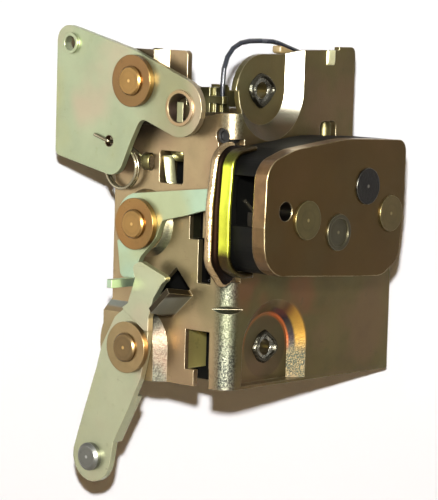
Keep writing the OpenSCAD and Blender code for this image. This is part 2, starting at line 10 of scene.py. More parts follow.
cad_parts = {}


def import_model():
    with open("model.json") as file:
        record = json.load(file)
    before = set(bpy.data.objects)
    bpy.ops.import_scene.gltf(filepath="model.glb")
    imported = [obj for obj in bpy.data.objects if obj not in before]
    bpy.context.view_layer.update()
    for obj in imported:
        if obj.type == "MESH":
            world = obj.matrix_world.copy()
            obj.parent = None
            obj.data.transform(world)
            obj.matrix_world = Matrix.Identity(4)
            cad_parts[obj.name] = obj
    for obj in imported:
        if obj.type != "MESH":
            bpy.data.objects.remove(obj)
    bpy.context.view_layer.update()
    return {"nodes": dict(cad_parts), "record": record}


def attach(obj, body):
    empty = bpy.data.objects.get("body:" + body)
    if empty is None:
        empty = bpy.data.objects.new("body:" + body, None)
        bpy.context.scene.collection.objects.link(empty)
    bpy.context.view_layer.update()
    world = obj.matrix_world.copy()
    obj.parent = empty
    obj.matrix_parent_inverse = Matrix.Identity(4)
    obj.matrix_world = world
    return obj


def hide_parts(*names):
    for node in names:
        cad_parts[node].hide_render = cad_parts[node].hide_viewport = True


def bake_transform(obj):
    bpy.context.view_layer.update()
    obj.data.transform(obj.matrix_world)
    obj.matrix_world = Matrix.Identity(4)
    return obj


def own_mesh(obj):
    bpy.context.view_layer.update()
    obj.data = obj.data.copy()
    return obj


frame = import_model()
NODES = frame["nodes"]

MM = 0.001
# The drawing counts from the bracket's corner at its lower edge, the scene from the lower screw hole.
CORNER = Vector((-22.0, -4.0, -11.5))
ALONG_X, ALONG_Y = 0, 1


def at(x, y, z):
    """A point of the drawing, in millimetres, as a place in the scene."""
    return (Vector((x, y, z)) + CORNER) * MM


# Finishes


class Val:
    """A number that varies over a surface, written as ordinary arithmetic."""

    def __init__(self, finish, socket):
        self.finish, self.socket = finish, socket

    def maths(self, op, *values):
        return self.finish.node("ShaderNodeMath", {"operation": op}, values)

    def __add__(self, o):
        return self.maths("ADD", self, o)

    def __radd__(self, o):
        return self.maths("ADD", o, self)

    def __sub__(self, o):
        return self.maths("SUBTRACT", self, o)

    def __rsub__(self, o):
        return self.maths("SUBTRACT", o, self)

    def __mul__(self, o):
        return self.maths("MULTIPLY", self, o)

    def __rmul__(self, o):
        return self.maths("MULTIPLY", o, self)

    def __abs__(self):
        return self.maths("ABSOLUTE", self)

    def sine(self):
        return self.maths("SINE", self)


class Finish:
    """One procedural finish; its nodes are made through node()."""

    def __init__(self, name):
        self.mat = bpy.data.materials.new(name)
        self.mat.use_nodes = True
        self.tree = self.mat.node_tree
        self.shader = self.tree.nodes["Principled BSDF"]
        self.place = self.node("ShaderNodeTexCoord", {}, [], out="Object")
        self.facing = self.node("ShaderNodeTexCoord", {}, [], out="Normal")

    def node(self, kind, settings, values, out=0):
        """Adds a node, sets its settings, then feeds its sockets by position or by name."""
        n = self.tree.nodes.new(kind)
        for key, value in settings.items():
            if key == "stops":
                self.stops(n, value)
            else:
                setattr(n, key, value)
        for key, value in values.items() if isinstance(values, dict) else enumerate(values):
            self.feed(n.inputs[key], value)
        return Val(self, n.outputs[out])

    def stops(self, n, stops):
        """Sets a ramp's stops, each a position and a colour."""
        elements = n.color_ramp.elements
        while len(elements) < len(stops):
            elements.new(1.0)
        for element, (position, colour) in zip(elements, stops):
            element.position = position
            element.color = colour

    def feed(self, socket, value):
        """Links a value that varies, or sets one that doesn't."""
        if isinstance(value, Val):
            self.tree.links.new(value.socket, socket)
        else:
            socket.default_value = value

    def noise(self, scale, detail, rough, where=None):
        """Cloudy noise; scale is in cells per metre."""
        return self.node("ShaderNodeTexNoise", {}, {"Vector": where or self.place, "Scale": scale,
                                                    "Detail": detail, "Roughness": rough})

    def span(self, x, lo, hi):
        """0 below lo, 1 above hi, smooth between."""
        return self.node("ShaderNodeMapRange", {"interpolation_type": "SMOOTHSTEP"},
                         {"Value": x, "From Min": lo, "From Max": hi})

    def below(self, x, lo, hi):
        """1 below lo, 0 above hi, smooth between."""
        return 1.0 - self.span(x, lo, hi)

    def band(self, x, rise, fall):
        """1 between two soft edges, each given by where it starts and ends."""
        return self.span(x, *rise) * self.below(x, *fall)

    def axis(self, vector, which):
        """One component of a vector."""
        return self.node("ShaderNodeSeparateXYZ", {}, [vector], out=which)

    def vector(self, op, *values, out="Vector"):
        return self.node("ShaderNodeVectorMath", {"operation": op}, values, out=out)

    def from_axis(self, centre, along):
        """Distance in metres from an axis through centre, which runs along one coordinate."""
        across = tuple(0.0 if i == along else 1.0 for i in range(3))
        off = self.vector("MULTIPLY", self.vector("SUBTRACT", self.place, tuple(centre)), across)
        return self.vector("LENGTH", off, out="Value")

    def scratches(self):
        """A few thin lines: the middle contour of a stretched noise, kept only in patches."""
        size, thin, share = 70.0, 0.006, 0.6
        where = self.node("ShaderNodeMapping", {}, {"Vector": self.place, "Rotation": (0.4, 0.3, 0.7),
                                                    "Scale": (1.0, 2.0, 5.0)})
        near = abs(self.noise(size, 1.0, 0.4, where) - 0.5)
        kept = self.span(self.noise(size * 1.7, 1.0, 0.5), share, share + 0.05)
        return self.below(near, 0.0, thin) * kept

    def mix(self, factor, a, b):
        """Colour a where factor is 0, colour b where it is 1."""
        return self.node("ShaderNodeMix", {"data_type": "RGBA"}, {0: factor, 6: a, 7: b}, out=2)

    def clouded(self, base, contrast, size):
        """A colour that drifts darker and lighter."""
        stops = [(0.3, shade(base, (1 - contrast) ** 2)), (0.5, base), (0.7, shade(base, 1 + contrast * 1.2))]
        return self.node("ShaderNodeValToRGB", {"stops": stops}, [self.noise(size, 5.0, 0.6)])

    def soft_edges(self, radius):
        """A normal that turns softly round the edges, and a mask that is 1 on them."""
        soft = self.node("ShaderNodeBevel", {"samples": 4}, {"Radius": radius})
        flat = self.node("ShaderNodeNewGeometry", {}, [], out="Normal")
        same = self.vector("DOT_PRODUCT", soft, flat, out="Value")
        return soft, self.span(1.0 - same, 0.02, 0.22)

    def bump(self, height, strength, distance, normal):
        return self.node("ShaderNodeBump", {}, {"Strength": strength, "Distance": distance,
                                                "Height": height, "Normal": normal})

    def done(self, colour, rough, metal, bump, gloss=0.5):
        """Feeds the shader and gives the finished material."""
        sockets = self.shader.inputs
        self.feed(sockets["Base Color"], colour)
        self.feed(sockets["Roughness"], rough)
        self.feed(sockets["Metallic"], metal)
        self.feed(sockets["Normal"], bump)
        sockets["Specular IOR Level"].default_value = gloss
        return self.mat


def rgb(r, g, b):
    """An eight-bit display colour as a linear one."""
    def lin(v):
        v = v / 255.0
        return v / 12.92 if v <= 0.04045 else ((v + 0.055) / 1.055) ** 2.4
    return (lin(r), lin(g), lin(b), 1.0)


def shade(colour, k):
    """A linear colour made darker or lighter."""
    return tuple(min(1.0, v * k) for v in colour[:3]) + (1.0,)


def plated(f, colour, pale, tint_a, tint_b, rough, metal=0.85, tint=0.4, spots=0.4, edge=0.0003,
           wear=0.5, grain=0.10, lines=0.4, band=34.0, relief=None):
    """Passivated zinc over a base colour: faint colour bands, pores, fine scratches, pale edges.

    The pale edges are partly wear and partly painted highlight. tint, spots, wear and lines are shares
    of the bands, blots, pale edges and scratches. edge is the radius in metres within which an edge is
    painted pale, band is the bands' cells per metre, grain is how strongly the pores stand out, and relief
    adds finer ones where it is above 0.
    """
    pores = f.noise(1500.0, 3.0, 0.6)
    blots = f.noise(260.0, 4.0, 0.65)
    bands = f.noise(band, 3.0, 0.5)
    soft, rim = f.soft_edges(edge)
    for share, paint in (
            (f.span(bands, 0.50, 0.66) * tint, tint_a),
            (f.span(1.0 - bands, 0.50, 0.66) * tint, tint_b),
            (f.span(blots, 0.60, 0.76) * spots, shade(tint_b, 0.55)),
            (f.scratches() * lines, shade(tint_a, 0.45)),
            # pale edges, partly wear and partly painted highlight
            (rim * wear * f.span(blots, 0.30, 0.55), pale)):
        colour = f.mix(share, colour, paint)
    height = pores if relief is None else pores + relief * f.noise(2600.0, 2.0, 0.6)
    return f.done(colour, rough + (pores - 0.5) * 0.12 + (blots - 0.5) * 0.10, metal,
                  f.bump(height, grain, 0.0002, soft))


def plated_sheet(name, base, pale, tint_a, tint_b, contrast=0.16, **more):
    """Plated sheet of one colour, given by display colours."""
    f = Finish(name)
    return plated(f, f.clouded(rgb(*base), contrast, 55.0), rgb(*pale), rgb(*tint_a), rgb(*tint_b), **more)


def bracket_finish():
    """The bracket's plating: brown, coloured on its pads, and painted paler and pinker on the left wing as
    painted reflection.

    Each zone's soft edges are places in the scene, in metres, or components of the surface's direction.
    """
    f = Finish("bracket_zinc")
    x, y, z = (f.axis(f.place, k) for k in range(3))
    nx, ny, nz = (f.axis(f.facing, k) for k in range(3))
    on_left = f.below(x, -0.0212, -0.0182)
    on_right = 1.0 - on_left
    low = f.below(z, 0.0300, 0.0500)
    high = f.span(z, 0.0680, 0.0730)
    # slopes that face the corner's diagonal, and the upper pad's shoulder where it faces up
    slope = f.span(0.0 - nx, 0.15, 0.40) * f.span(0.0 - ny, 0.15, 0.40)
    shoulder = f.span(nz, 0.05, 0.30) * f.below(z, 0.0720, 0.0760) * on_right * f.span(z, 0.0540, 0.0580)
    # on the left wing: the raised lobe at the top, the stop tab, and the sheet under the upper lever
    raised = f.below(x, -0.0246, -0.0240) * f.span(z, 0.0640, 0.0680)
    tab = f.below(x, -0.0230, -0.0224) * f.below(y, 0.0205, 0.0225) * f.span(z, 0.0050, 0.0065) * low
    under = f.band(z, (0.0590, 0.0660), (0.0860, 0.0900)) * f.span(y, 0.0150, 0.0300) * on_left
    # the flange behind the lower window, painted pale low down as painted light and near black higher up as
    # painted shade
    flange = f.span(x, -0.0206, -0.0200) * f.span(y, 0.0120, 0.0126) * f.below(y, 0.0160, 0.0165)
    # round the lower screw pad: its sunk face, the upper part of its shoulder and the right side of that
    r = f.from_axis(at(22, 0, 11.5), ALONG_Y)
    sunk = f.below(r, 0.0092, 0.0100) * low * on_right
    above = f.span(z, -0.0040, 0.0040) * low * on_right
    aside = above * f.span(x, 0.0, 0.0040)
    orange = f.band(r, (0.0094, 0.0103), (0.0108, 0.0114))
    violet = f.band(r, (0.0108, 0.0114), (0.0122, 0.0130))
    yellow = f.band(r, (0.0122, 0.0130), (0.0150, 0.0162))
    # the shoulder's foot is painted darker with light specks, painted shade with painted glints, and has a
    # ragged upper limit
    ragged = z + (f.noise(900.0, 2.0, 0.6) - 0.5) * 0.010
    shaded_foot = slope * on_right * f.span(x, 0.0, 0.0040) * f.below(ragged, -0.0060, 0.0040) * low
    glint_speckle = f.mix(f.span(f.noise(2200.0, 2.0, 0.6), 0.42, 0.6), rgb(32, 38, 28), rgb(86, 74, 48))
    # painted reddish reflection in patches under the front plate
    reflection_patch = f.band(z, (0.0080, 0.0110), (0.0200, 0.0240)) * f.below(x, 0.0150, 0.0300) * on_right
    wave = f.noise(60.0, 2.0, 0.5)
    # the dart across the corner, painted silvery as painted highlight, and the rounded corner itself, given
    # painted glints
    dart = f.band(z, (0.0095, 0.0105), (0.0155, 0.0165)) * f.span(abs(nz), 0.15, 0.35) * on_left
    column = f.below(x, -0.0190, -0.0165) * f.below(y, 0.0, 0.0025)
    glint_grit = f.mix(f.span(f.noise(1700.0, 2.0, 0.6), 0.42, 0.58), rgb(32, 34, 27), rgb(84, 84, 70))

    # painted reflection: the left wing is painted paler and pinker than the brown right wing
    colour = f.mix(on_left, f.clouded(rgb(84, 74, 43), 0.12, 55.0), f.clouded(rgb(126, 109, 79), 0.10, 60.0))
    for share, paint in (
            # painted highlight on the upper pad's slopes that face the corner's diagonal
            (slope * on_right * high * f.span(x, -0.0150, -0.0120), rgb(214, 208, 184)),
            # painted shade on the upper pad's shoulder where it faces up
            (shoulder * 0.85, rgb(38, 35, 20)),
            # painted shade on the slopes low on the bracket that face the corner's diagonal
            (slope * low * 0.95, rgb(26, 24, 18)),
            # painted shade on the raised lobe's face
            (raised * 0.85, rgb(42, 33, 22)),
            # painted shade on the stop tab's face
            (tab * 0.9, rgb(14, 11, 7)),
            # painted shade on the sheet under the upper lever
            (under * 0.9, rgb(36, 28, 18)),
            # painted light on the lower window's flange
            (flange * f.below(z, 0.0080, 0.0090), rgb(206, 196, 118)),
            # painted shade on the same strip higher up
            (flange * f.span(z, 0.0300, 0.0320) * f.below(z, 0.0490, 0.0500), rgb(20, 19, 13)),
            (sunk * 0.35, rgb(44, 28, 30)),
            (orange * (above * 0.35 + aside * 0.5), rgb(160, 78, 32)),
            (violet * aside, rgb(36, 26, 30)),
            (yellow * above * f.span(x, 0.0060, 0.0110), rgb(138, 104, 40)),
            # painted shade with painted glints at the foot of the lower pad's slope
            (shaded_foot * 0.85, glint_speckle),
            # painted reflection under the front plate
            (reflection_patch * f.span(wave, 0.42, 0.6) * 0.32, rgb(120, 62, 44)),
            # painted highlight on the dart's walls
            (dart, rgb(120, 124, 114)),
            # painted glints and painted shade as speckle on the rounded corner and the left wing's low slopes
            (column * 0.65 + slope * low * (1.0 - on_right) * 0.35, glint_grit)):
        colour = f.mix(share, colour, paint)
    # fewer colour bands and blots where shade is painted
    unshaded = 1.0 - (tab + under * 0.8)
    rough_places = slope * low + shaded_foot + dart + column * 1.4 + slope * high * 0.6
    return plated(f, colour, rgb(206, 194, 160), rgb(108, 80, 62), rgb(84, 86, 56), metal=0.85 + tab * 0.15,
                  rough=0.36 + slope * low * 0.12, tint=unshaded * 0.35, spots=unshaded * 0.35, grain=0.16,
                  wear=0.45, relief=rough_places * 3.0)


def collar_finish():
    """The sleeve is painted bright yellow along its straight side, its yellow plating lifted as painted
    reflection, and dark brown round its corners as painted shade.
    """
    f = Finish("collar_sleeve")
    z = f.axis(f.place, 2) + (f.noise(300.0, 2.0, 0.5) - 0.5) * 0.004
    straight = f.band(z, (0.0305, 0.0345), (0.0575, 0.0605))
    colour = f.mix(straight, rgb(52, 40, 16), f.clouded(rgb(166, 172, 48), 0.14, 90.0))
    return plated(f, colour, rgb(236, 224, 160), rgb(160, 130, 44), rgb(140, 160, 50), rough=0.30, tint=0.3,
                  grain=0.2, spots=0.2, lines=0.2, edge=0.0004, wear=0.6)


def lever_finish(name, base, seat=False):
    """Pale clear-passivated sheet; the upper lever is darker towards its seat, with painted shade in its bore
    and spring hole.
    """
    f = Finish(name)
    colour = f.clouded(rgb(*base), 0.06, 55.0)
    if seat:
        bore = f.from_axis(at(0, 16.9, 85.2), ALONG_X)
        spring_hole = f.from_axis(at(0, 46.4, 73.4), ALONG_X)
        inward = f.span(f.axis(f.facing, 0), -0.97, -0.85)
        for share, paint in (
                (f.below(f.axis(f.place, 1), 0.0160, 0.0360) * 0.85, rgb(112, 110, 80)),
                (f.band(bore, (0.0040, 0.0046), (0.0052, 0.0060)) * 0.5, rgb(140, 100, 66)),
                # painted shade on the bore's walls
                (f.below(bore, 0.0042, 0.0047) * inward, rgb(46, 34, 24)),
                # painted shade in the spring hole
                (f.below(spring_hole, 0.0017, 0.0020), rgb(60, 36, 16))):
            colour = f.mix(share, colour, paint)
    return plated(f, colour, rgb(206, 200, 160), rgb(150, 126, 108), rgb(142, 138, 92), rough=0.42, tint=0.5,
                  spots=0.25, wear=0.3, band=26.0)


def plate_finish():
    """Brown front plate, its sides painted paler as painted light, with a pale rim, partly wear and partly
    painted highlight, and a small hole painted dark as painted shade.
    """
    f = Finish("front_plate_steel")
    side = f.below(0.0 - f.axis(f.facing, 1), 0.3, 0.8)
    hole = f.from_axis(at(-0.6, 0, 56.7), ALONG_Y)
    # painted light on the plate's side faces
    colour = f.mix(side, f.clouded(rgb(72, 54, 21), 0.07, 40.0), f.clouded(rgb(92, 70, 44), 0.3, 150.0))
    # painted shade in the small hole
    colour = f.mix(f.below(hole, 0.00295, 0.0031), colour, rgb(16, 12, 8))
    return plated(f, colour, rgb(214, 196, 150), rgb(84, 60, 30), rgb(72, 62, 34), rough=0.36, edge=0.0005,
                  wear=0.6, tint=0.3, grain=0.06, spots=0.15, lines=0.25)


def turned(name, base, pale, centre, along, rings=2600.0, **more):
    """A rivet or pin end with faint turning marks about its axis and a pale dot in its middle."""
    f = Finish(name)
    base, pale = rgb(*base), rgb(*pale)
    r = f.from_axis(at(*centre), along)
    marks = f.span((r * rings).sine(), 0.2, 1.0)
    colour = f.mix(marks * 0.35, f.clouded(base, 0.10, 150.0), shade(base, 0.72))
    colour = f.mix(f.below(r, 0.0003, 0.0007) * 0.7, colour, pale)
    return plated(f, colour, pale, shade(base, 1.12), shade(base, 0.9), **more)


def moulding(name, base, pale, rough, gloss=0.5):
    """Moulded plastic with a fine grain and paler edges, partly wear and partly painted highlight."""
    f = Finish(name)
    grain = f.noise(1400.0, 3.0, 0.6)
    patch = f.noise(90.0, 4.0, 0.6)
    soft, rim = f.soft_edges(0.0004)
    colour = f.mix(f.span(patch, 0.45, 0.75) * 0.3 + rim * 0.35, rgb(*base), rgb(*pale))
    return f.done(colour, rough + (patch - 0.5) * 0.2, 0.0, f.bump(grain, 0.2, 0.0001, soft), gloss)


# finishes by material slot
FINISH = {
    "yellow_zinc_sheet": bracket_finish(),
    "collar_zinc": collar_finish(),
    "plate_steel": plate_finish(),
    "bronze_rivet": plated_sheet("rivet_bronze", (106, 78, 40), (176, 140, 76), (116, 78, 38), (100, 82, 44),
                                 contrast=0.1, rough=0.30, edge=0.0004, wear=0.4),
    "black_pin": plated_sheet("pin_black", (30, 28, 25), (120, 116, 104), (52, 48, 42), (26, 25, 24),
                              contrast=0.3, rough=0.30, spots=0.9),
    "dark_arm": plated_sheet("arm_dark", (84, 78, 46), (170, 164, 130), (84, 80, 60), (66, 68, 50),
                             rough=0.36),
    "bright_spring": plated_sheet("spring_bright", (124, 116, 92), (226, 226, 222), (150, 146, 130),
                                  (140, 144, 144), rough=0.22, edge=0.0001),
    "black_spring": plated_sheet("spring_black", (22, 22, 21), (110, 110, 108), (22, 20, 18), (16, 16, 16),
                                 rough=0.20, edge=0.0001, lines=0.0),
    "claw_steel": plated_sheet("claw_steel", (90, 84, 72), (170, 166, 156), (96, 86, 70), (84, 84, 74),
                               rough=0.34),
    "black_moulding": moulding("case_black", (14, 14, 12), (30, 25, 18), 0.5, gloss=0.05),
    "beige_plastic": moulding("clip_beige", (172, 146, 94), (210, 188, 140), 0.4),
    "blue_black_wire": moulding("wire_blue_black", (30, 34, 44), (66, 74, 92), 0.24),
}
# painted shade: the collar's flange face, finished near black
COLLAR_SHADED_FACE = plated_sheet("collar_face_painted_shade", (12, 6, 3), (40, 24, 12), (26, 12, 4), (8, 6, 3),
                           rough=0.55, metal=0.99, tint=0.4, grain=0.3)
# painted highlight: the collar's rolled lip, finished pale and speckled
COLLAR_LIT_LIP = plated_sheet("collar_lip_painted_highlight", (146, 126, 92), (240, 230, 198), (120, 76, 40), (70, 52, 36),
                          rough=0.26, tint=0.5, spots=0.9, grain=0.9, edge=0.0006, wear=0.7)
SCREW_RIM = plated_sheet("screw_rim", (52, 49, 38), (186, 184, 170), (60, 52, 38), (40, 44, 36),
                         rough=0.26, spots=0.9, grain=1.0, wear=0.8)
# painted highlight: the tongue and bead pressed from the bracket are finished pale
TAB_ZINC_LIT = plated_sheet("tab_zinc_painted_highlight", (206, 204, 160), (244, 242, 220), (170, 168, 90), (150, 160, 90),
                        rough=0.34, tint=0.4, grain=0.3)
BRONZE, BRONZE_PALE, OLIVE_PALE = (116, 88, 46), (186, 150, 90), (170, 156, 104)
# finishes of single nodes, before those of their slot
OWN = {
    "lock_lever": lever_finish("upper_lever_zinc", (129, 136, 108), seat=True),
    "transfer_lever": lever_finish("middle_lever_zinc", (135, 153, 129)),
    "handle_lever": lever_finish("lower_lever_zinc", (141, 143, 116)),
    "lock_washer": plated_sheet("upper_washer", (96, 70, 38), (170, 136, 76), (112, 72, 36), (92, 74, 40),
                                contrast=0.1, rough=0.32, edge=0.0004, wear=0.3),
    "handle_washer": plated_sheet("lower_washer", (124, 104, 70), (184, 160, 112), (112, 84, 52),
                                  (110, 100, 70), contrast=0.14, rough=0.34, edge=0.0004, wear=0.3),
    "lock_rivet": turned("lock_rivet_end", BRONZE, BRONZE_PALE, (0, 35.7, 92.6), ALONG_X, rough=0.32),
    "transfer_rivet": turned("transfer_rivet_end", BRONZE, BRONZE_PALE, (0, 34.3, 48.6), ALONG_X, rough=0.32),
    "handle_rivet": turned("handle_rivet_end", (94, 76, 48), BRONZE_PALE, (0, 35.2, 10.2), ALONG_X,
                           rough=0.34),
    "claw_pin": turned("claw_pin_end", (88, 79, 48), OLIVE_PALE, (9.5, 0, 53.6), ALONG_Y, rough=0.32),
    "case_rivet": turned("case_rivet_end", (88, 76, 46), OLIVE_PALE, (49.7, 0, 53.8), ALONG_Y, rough=0.32),
    "lever_pin": turned("lever_pin_end", (66, 62, 46), (140, 132, 100), (24.4, 0, 49.2), ALONG_Y, rough=0.36),
    "pawl_pin": turned("pawl_pin_end", (34, 32, 29), (150, 146, 132), (37.8, 0, 62.7), ALONG_Y, rings=1500.0,
                       rough=0.3, spots=0.9, grain=0.5),
    "corner_plug": moulding("plug_grey", (38, 37, 35), (60, 58, 54), 0.5, gloss=0.2),
    "rod_pin": turned("rod_pin_end", (92, 92, 86), (200, 200, 196), (0, 50.8, -26.5), ALONG_X, rings=3200.0,
                      rough=0.36),
}

for part in frame["record"]["subparts"]:
    mesh = NODES[part["node"]].data
    mesh.materials.clear()
    mesh.materials.append(OWN.get(part["node"]) or FINISH[part["material_slot"]])


# Pieces made here


def placed(name, data):
    """A new object in the scene."""
    obj = bpy.data.objects.new(name, data)
    bpy.context.scene.collection.objects.link(obj)
    return obj


def grown(name, rows, body, finishes, picks=None, ring=False):
    """A skin over rows of drawing points, each row a closed section, with the finish of each of its lines.

    The rows close on themselves if ring, and otherwise have an end face at both ends. A piece that is to be
    blended across a joint has no body.
    """
    n, m = len(rows), len(rows[0])
    strips = n if ring else n - 1
    faces = [(i * m + k, i * m + (k + 1) % m, (i + 1) % n * m + (k + 1) % m, (i + 1) % n * m + k)
             for i in range(strips) for k in range(m)]
    chosen = (picks or [0] * m) * strips
    if not ring:
        faces += [tuple(range(m)), tuple(range((n - 1) * m, n * m))]
        chosen += [chosen[0]] * 2
    me = bpy.data.meshes.new(name)
    me.from_pydata([at(*point) for row in rows for point in row], [], faces)
    for finish in finishes:
        me.materials.append(finish)
    for face, pick in zip(me.polygons, chosen):
        face.material_index = pick
        face.use_smooth = len(face.vertices) == 4
    build = bmesh.new()
    build.from_mesh(me)
    bmesh.ops.recalc_face_normals(build, faces=build.faces)
    build.to_mesh(me)
    build.free()
    obj = placed(name, me)
    if body:
        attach(obj, body)
    return obj


def around(count):
    """Cosine and sine of equal steps round a circle."""
    return [(math.cos(2 * math.pi * k / count), math.sin(2 * math.pi * k / count)) for k in range(count)]


def rounded(corners):
    """An outline of (x, z, corner radius) points with its corners rounded."""
    steps = 10
    outline = []
    for i, (x, z, r) in enumerate(corners):
        here = Vector((x, z))
        if r == 0:
            outline.append(here)
            continue
        u = (Vector(corners[i - 1][:2]) - here).normalized()
        w = (Vector(corners[(i + 1) % len(corners)][:2]) - here).normalized()
        half = u.angle(w) / 2
        middle = here + (u + w).normalized() * (r / math.sin(half))
        first = here + u * (r / math.tan(half)) - middle
        turn = first.angle_signed(here + w * (r / math.tan(half)) - middle)
        outline += [middle + Matrix.Rotation(-turn * k / steps, 2) @ first for k in range(steps + 1)]
    return outline


def reach(outline, centre, way):
    """How far an outline lies from a centre in one direction."""
    parallel = 1e-9
    far = 0.0
    for a, b in zip(outline, outline[1:] + outline[:1]):
        side = b - a
        cross = way.x * side.y - way.y * side.x
        if abs(cross) > parallel:
            off = a - centre
            t = (off.x * side.y - off.y * side.x) / cross
            u = (off.x * way.y - off.y * way.x) / cross
            if 0 <= u <= 1:
                far = max(far, t)
    return far


def collar():
    """The guide collar: a sleeve with rounded edges, a fillet, a flange and its rolled lip."""
    flange = rounded([(0.2, 75, 0), (-3.2, 75, 0), (-3.4, 76.1, 0), (-11.4, 76.3, 7), (-14, 58, 20),
                      (-14.2, 39.6, 7), (-7.3, 32.1, 2.5), (-3.4, 34, 0.8), (-3.2, 36, 0), (0.2, 36, 0)])
    outer = rounded([(0.2, 75.1, 0), (-10.4, 73.6, 6), (-11.8, 56, 20), (-11.7, 38.4, 7), (-4, 35.8, 2.4),
                     (0.2, 35.8, 0)])
    inner = rounded([(1, 74, 0), (-9.4, 72.4, 5), (-10.5, 56, 20), (-10.4, 39.2, 6), (-3.8, 37.2, 2),
                     (1, 37.2, 0)])
    # the face's finish is painted shade and the lip's a painted highlight
    sleeve, face, lip = 0, 1, 2
    # base outline, offset outwards, Y and finish of each line of the section
    section = [("inner", 0, -1.6, sleeve), ("inner", 0, -9.05, sleeve), ("inner", 0.22, -9.3, sleeve),
               ("outer", -0.22, -9.3, sleeve), ("outer", 0, -9.05, sleeve), ("outer", 0, -5.6, face),
               ("outer", 0.22, -4.75, face), ("outer", 0.8, -4.2, face), ("flange", -0.95, -4.2, lip),
               ("flange", -0.45, -4.05, lip), ("flange", -0.1, -3.6, lip), ("flange", 0, -3.0, lip),
               ("flange", 0, -2.6, lip), ("flange", -0.12, -2.1, lip), ("flange", -0.45, -1.7, lip),
               ("flange", -0.95, -1.55, face)]
    centre = Vector((0.2, 55.5))
    steps = 120
    rows = []
    for i in range(steps + 1):
        angle = math.pi * (0.5 + i / steps)
        way = Vector((math.cos(angle), math.sin(angle)))
        if i in (0, steps):
            # the end rows lean in a little, so that they still cross the outlines
            way = Vector((-0.002, way.y))
        far = {"inner": reach(inner, centre, way), "outer": reach(outer, centre, way)}
        far["flange"] = max(reach(flange, centre, way), far["outer"])
        row = []
        for base, offset, y, _ in section:
            r = far[base] + offset
            if base == "flange":
                r = max(r, far["outer"])
            elif base == "outer":
                r = min(r, far["flange"])
            spot = centre + way * r
            row.append((spot.x, y, spot.y))
        rows.append(row)
    obj = grown("guide_collar_rolled", rows, "bracket_body",
                [FINISH["collar_zinc"], COLLAR_SHADED_FACE, COLLAR_LIT_LIP], [line[3] for line in section])
    # the lip's ends, towards the right wing, are painted dark as painted shade
    ends = at(-3.9, 0, 0).x
    for polygon in obj.data.polygons:
        if polygon.material_index == lip and polygon.center.x > ends:
            polygon.material_index = face
    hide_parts("guide_collar")


def screw_rim(name, x, z, wide, tall, phase):
    """The lip swaged out round a screw hole: a rounded diamond that falls to the thread's first turns."""
    sides, steps, turns, bulge = 72, 20, 3.6, 1.55
    pad, mouth, bore = 4.0, 1.5, 2.55
    rows = []
    for i in range(sides):
        angle = 2 * math.pi * i / sides
        c, s = math.cos(angle), math.sin(angle)
        out = (abs(c / wide) ** bulge + abs(s / tall) ** bulge) ** (-1 / bulge)
        out += 0.16 * math.sin(3 * angle + phase) + 0.08 * math.sin(7 * angle + 2 * phase)
        lift = 1.0 + 0.18 * math.sin(2 * angle + phase)
        row = [(out, 4.05), (out - 0.12, 3.85)]
        row += [(out - inset, pad - rise * lift)
                for inset, rise in ((0.45, 0.72), (0.8, 0.95), (1.1, 0.85), (1.4, 0.45))]
        for k in range(steps):
            q = (k + 0.5) / steps
            wave = math.sin(2 * math.pi * (turns * q + i / sides))
            row.append((out - mouth + (bore - out + mouth) * q, 3.72 + 0.16 * q + 0.13 * wave))
        row.append((2.52, 4.05))
        rows.append([(x + r * c, y, z + r * s) for r, y in row])
    grown(name, rows, "bracket_body", [SCREW_RIM], ring=True)


def window_tongue():
    """The curved tongue left standing in the lanced window; it leans inwards towards its top."""
    radius, thick, levels, steps = 3.6, 0.9, 12, 14
    start, bend = -62, 57
    section = [(radius, k) for k in range(steps + 1)] + [(radius - thick, k) for k in range(steps, -1, -1)]
    rows = []
    for i in range(levels + 1):
        q = i / levels
        z = 61.6 + 8.2 * q
        left = 26.9 + 3.0 * q ** 0.8
        # 0.883 and 0.469 are the sine and cosine of 62 degrees
        centre = Vector((0.2 + 0.883 * radius + 1.3 * q, left + 0.469 * radius))
        row = []
        for r, k in section:
            angle = math.radians(start + bend * k / steps)
            row.append((centre.x + math.sin(angle) * r, centre.y - math.cos(angle) * r,
                        z - 0.9 * k / steps * (1 - q)))
        rows.append(row)
    grown("window_tongue", rows, "bracket_body", [TAB_ZINC_LIT])


def window_flap():
    """The flat flap bent in from the lanced window's top edge."""
    middle, thick, lift = 24.6, 1.2, 0.5
    rows = []
    for q in (0.0, 0.5, 1.0):
        x, z, half = 1.4 + 2.2 * q, 71.4 - 3.2 * q ** 0.8, 2.5 - 0.4 * q
        rows.append([(x, middle - half, z), (x, middle + half, z),
                     (x + thick, middle + half, z + lift), (x + thick, middle - half, z + lift)])
    # painted shade: the flap, bent from the bracket, has the inner arm's dark finish
    grown("window_flap", rows, "bracket_body", [FINISH["dark_arm"]])


def anchor_lug():
    """The oval lug bent out of the left wing, which holds the toggle spring's leg; it has the inner arm's
    dark finish and a black front end, as painted shade.
    """
    half_wide, half_tall, middle = 1.55, 2.4, 67.75
    rows = []
    for y, scale, x in ((32.2, 0.84, -1.35), (32.3, 0.95, -1.35), (32.6, 1.0, -1.35), (34.4, 1.0, -1.3),
                        (35.8, 0.94, -1.0), (36.8, 0.8, -0.4), (37.4, 0.62, 0.3)):
        rows.append([(x + half_wide * scale * c, y, middle + half_tall * scale * s) for c, s in around(28)])
    lug = grown("anchor_lug", rows, "bracket_body",
                [FINISH["dark_arm"], FINISH["black_pin"]])
    front_end = lug.data.polygons[-2]
    front_end.material_index = 1


